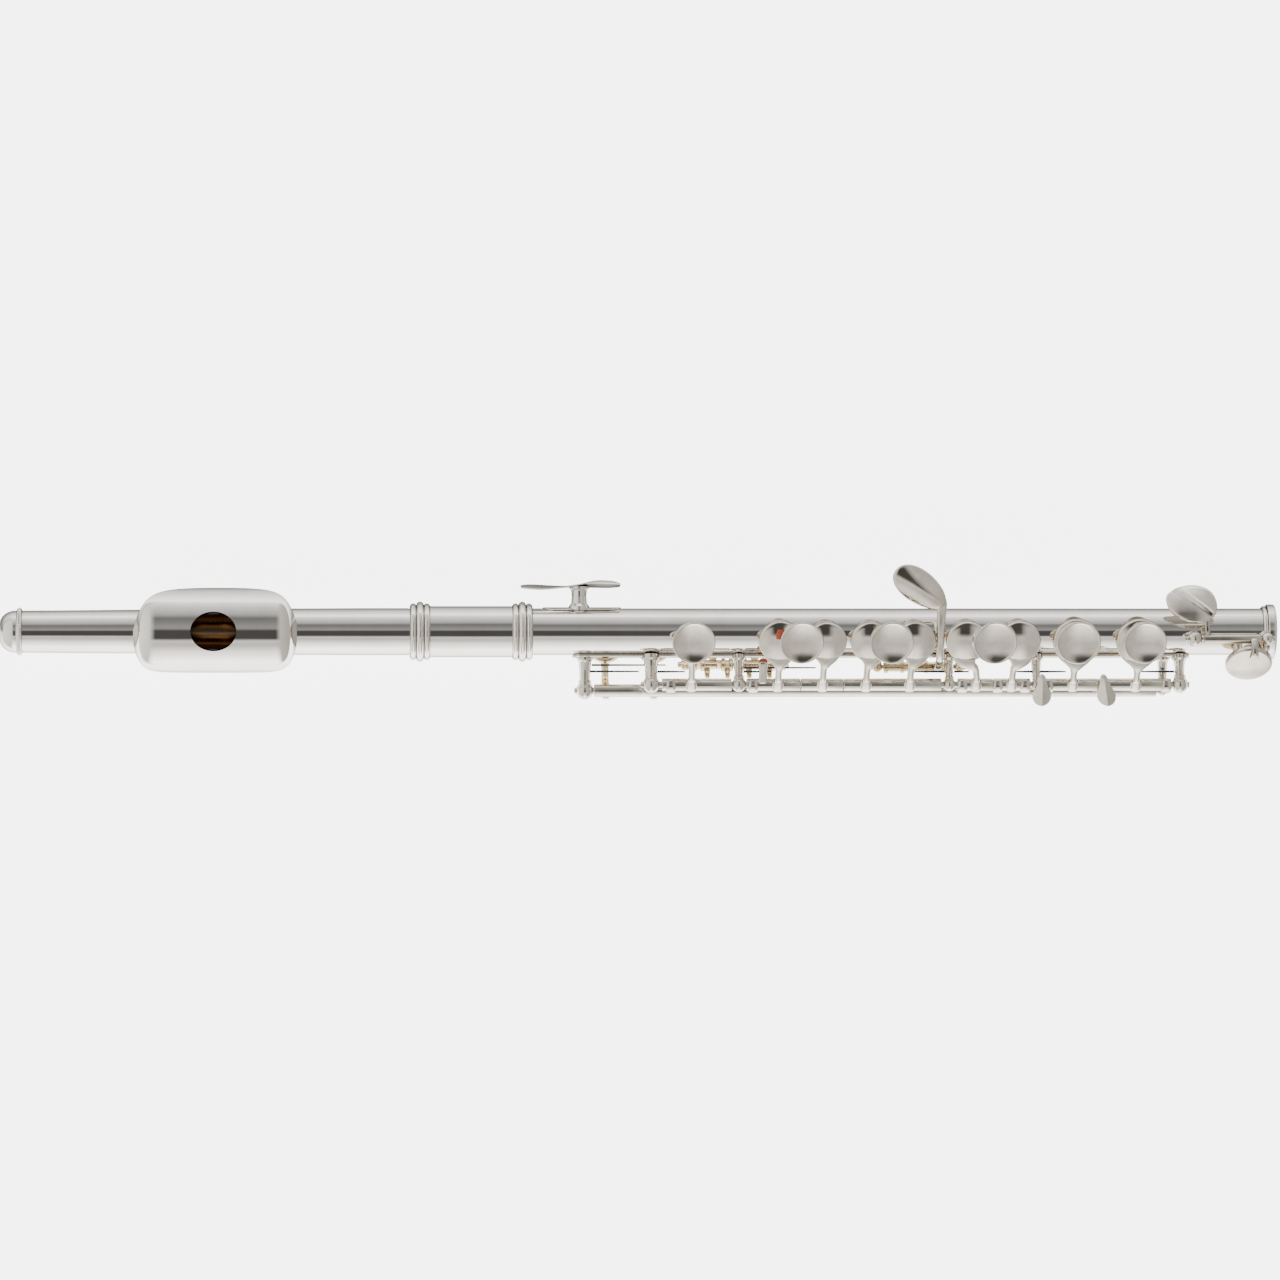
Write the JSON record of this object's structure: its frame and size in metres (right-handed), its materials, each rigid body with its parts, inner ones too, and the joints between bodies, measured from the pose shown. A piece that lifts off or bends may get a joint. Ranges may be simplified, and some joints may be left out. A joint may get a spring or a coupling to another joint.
{
  "type": "piccolo",
  "caption": "Silver-plated piccolo with lip plate, beaded barrel rings, open-standing key cups with finger discs, trill keys, G sharp and foot levers, on hinge rods and posts.",
  "frame": {"origin": "centre of the bore at the open foot end", "axes": "+X along the bore from the crown to the foot, +Z the side of the tone holes and keys, +Y the side facing away from the player"},
  "size_m": [0.32, 0.0364, 0.0249],
  "materials": {
    "silver_plate": "polished silver plate",
    "steel": "ground steel rod",
    "blued_steel": "blued spring steel",
    "pad_skin": "thin translucent skin over felt",
    "cork": "fine cork",
    "felt": "pressed felt"
  },
  "bodies": {
    "body": {"body_tube": "silver_plate", "tone_hole_chimneys": "silver_plate", "receiver_barrel": "silver_plate", "barrel_rings": "silver_plate", "foot_ring": "silver_plate", "main_rib": "silver_plate", "rib_posts": "silver_plate", "back_posts": "silver_plate", "foot_posts": "silver_plate", "hinge_steels": "steel", "finger_rest": "silver_plate", "needle_springs": "blued_steel"},
    "head_tenon": {"head_tenon": "silver_plate"},
    "head": {"head_tube": "silver_plate", "lip_plate": "silver_plate", "embouchure_riser": "silver_plate"},
    "crown": {"crown": "silver_plate"},
    "stopper": {"stopper_screw": "steel", "stopper_cork": "cork"},
    "c_key": {"c_key": "silver_plate", "c_pad": "pad_skin", "c_touch": "silver_plate"},
    "b_flat_key": {"b_flat_key": "silver_plate", "b_flat_pad": "pad_skin", "b_flat_felt": "felt"},
    "a_key": {"a_key": "silver_plate", "a_pad": "pad_skin", "a_touch": "silver_plate"},
    "g_key": {"g_key": "silver_plate", "g_pad": "pad_skin", "g_touch": "silver_plate"},
    "f_sharp_key": {"f_sharp_key": "silver_plate", "f_sharp_pad": "pad_skin"},
    "f_key": {"f_key": "silver_plate", "f_pad": "pad_skin", "f_touch": "silver_plate"},
    "e_key": {"e_key": "silver_plate", "e_pad": "pad_skin", "e_touch": "silver_plate"},
    "d_key": {"d_key": "silver_plate", "d_pad": "pad_skin", "d_touch": "silver_plate"},
    "foot_key": {"foot_key": "silver_plate", "foot_pad": "pad_skin", "foot_touch": "silver_plate"},
    "g_sharp_key": {"g_sharp_key": "silver_plate", "g_sharp_pad": "pad_skin", "g_sharp_spoon": "silver_plate"},
    "thumb_key": {"thumb_key": "silver_plate", "thumb_pad": "pad_skin", "thumb_touch": "silver_plate"},
    "thumb_b_flat_key": {"thumb_b_flat_key": "silver_plate", "thumb_b_flat_pad": "pad_skin", "thumb_b_flat_touch": "silver_plate"},
    "trill_d_key": {"trill_d_key": "silver_plate", "trill_d_pad": "pad_skin", "trill_d_touch": "silver_plate"},
    "trill_d_sharp_key": {"trill_d_sharp_key": "silver_plate", "trill_d_sharp_pad": "pad_skin", "trill_d_sharp_touch": "silver_plate"}
  },
  "joints": [
    {"name": "head_slide", "type": "slide", "parent": "body", "child": "head_tenon", "axis": [1, 0, 0], "range_m": [-0.022, 0]},
    {"name": "head_turn", "type": "hinge", "parent": "head_tenon", "child": "head", "pos_m": [-0.2178, 0, 0], "axis": [1, 0, 0], "continuous": true},
    {"name": "crown_turn", "type": "hinge", "parent": "head", "child": "crown", "pos_m": [-0.3141, 0, 0], "axis": [1, 0, 0], "range_deg": [-1080, 1080]},
    {"name": "stopper_slide", "type": "slide", "parent": "head", "child": "stopper", "axis": [1, 0, 0], "range_m": [-0.0015, 0.0015]},
    {"name": "c_press", "type": "hinge", "parent": "body", "child": "c_key", "pos_m": [-0.1471, -0.01256, 0.005], "axis": [1, 0, 0], "range_deg": [-7.6, 0], "stiffness_Nm_per_rad": 0.004, "springref_deg": 28.65},
    {"name": "b_flat_press", "type": "hinge", "parent": "body", "child": "b_flat_key", "pos_m": [-0.1254, -0.01256, 0.005], "axis": [1, 0, 0], "range_deg": [-7.6, 0], "stiffness_Nm_per_rad": 0.004, "springref_deg": 28.65},
    {"name": "a_press", "type": "hinge", "parent": "body", "child": "a_key", "pos_m": [-0.1142, -0.01256, 0.005], "axis": [1, 0, 0], "range_deg": [-7.6, 0], "stiffness_Nm_per_rad": 0.004, "springref_deg": 28.65},
    {"name": "g_press", "type": "hinge", "parent": "body", "child": "g_key", "pos_m": [-0.097, -0.01256, 0.005], "axis": [1, 0, 0], "range_deg": [-7.6, 0], "stiffness_Nm_per_rad": 0.004, "springref_deg": 28.65},
    {"name": "f_sharp_press", "type": "hinge", "parent": "body", "child": "f_sharp_key", "pos_m": [-0.0756, -0.01256, 0.005], "axis": [1, 0, 0], "range_deg": [-7.6, 0], "stiffness_Nm_per_rad": 0.004, "springref_deg": 28.65},
    {"name": "f_press", "type": "hinge", "parent": "body", "child": "f_key", "pos_m": [-0.0667, -0.01256, 0.005], "axis": [1, 0, 0], "range_deg": [-7.6, 0], "stiffness_Nm_per_rad": 0.004, "springref_deg": 28.65},
    {"name": "e_press", "type": "hinge", "parent": "body", "child": "e_key", "pos_m": [-0.0513, -0.01256, 0.005], "axis": [1, 0, 0], "range_deg": [-7.6, 0], "stiffness_Nm_per_rad": 0.004, "springref_deg": 28.65},
    {"name": "d_press", "type": "hinge", "parent": "body", "child": "d_key", "pos_m": [-0.0354, -0.01256, 0.005], "axis": [1, 0, 0], "range_deg": [-7.6, 0], "stiffness_Nm_per_rad": 0.004, "springref_deg": 28.65},
    {"name": "foot_key_press", "type": "hinge", "parent": "body", "child": "foot_key", "pos_m": [-0.012, 0, 0.0092], "axis": [1, 0, 0], "range_deg": [-8, 0], "stiffness_Nm_per_rad": 0.004, "springref_deg": 28.65},
    {"name": "g_sharp_press", "type": "hinge", "parent": "body", "child": "g_sharp_key", "pos_m": [-0.09, -0.0093, -0.0012], "axis": [1, 0, 0], "range_deg": [-7, 0], "stiffness_Nm_per_rad": 0.004, "springref_deg": 28.65},
    {"name": "thumb_press", "type": "hinge", "parent": "body", "child": "thumb_key", "pos_m": [-0.141, -0.0099, -0.0069], "axis": [1, 0, 0], "range_deg": [0, 6.6], "stiffness_Nm_per_rad": 0.004, "springref_deg": -28.65},
    {"name": "thumb_b_flat_press", "type": "hinge", "parent": "body", "child": "thumb_b_flat_key", "pos_m": [-0.1304, -0.0099, -0.0069], "axis": [1, 0, 0], "range_deg": [0, 6.6], "stiffness_Nm_per_rad": 0.004, "springref_deg": -28.65},
    {"name": "trill_d_press", "type": "hinge", "parent": "body", "child": "trill_d_key", "pos_m": [-0.11, -0.0148, 0.0014], "axis": [1, 0, 0], "range_deg": [-7, 0], "stiffness_Nm_per_rad": 0.004, "springref_deg": 28.65},
    {"name": "trill_d_sharp_press", "type": "hinge", "parent": "body", "child": "trill_d_sharp_key", "pos_m": [-0.1, -0.0148, 0.0014], "axis": [1, 0, 0], "range_deg": [-7, 0], "stiffness_Nm_per_rad": 0.004, "springref_deg": 28.65}
  ],
  "couplings": [
    {"joint": "crown_turn", "follows": "stopper_slide", "rad_per_m": 12566},
    {"joint": "b_flat_press", "follows": "a_press", "ratio": 1},
    {"joint": "f_sharp_press", "follows": "f_press", "ratio": 1}
  ]
}
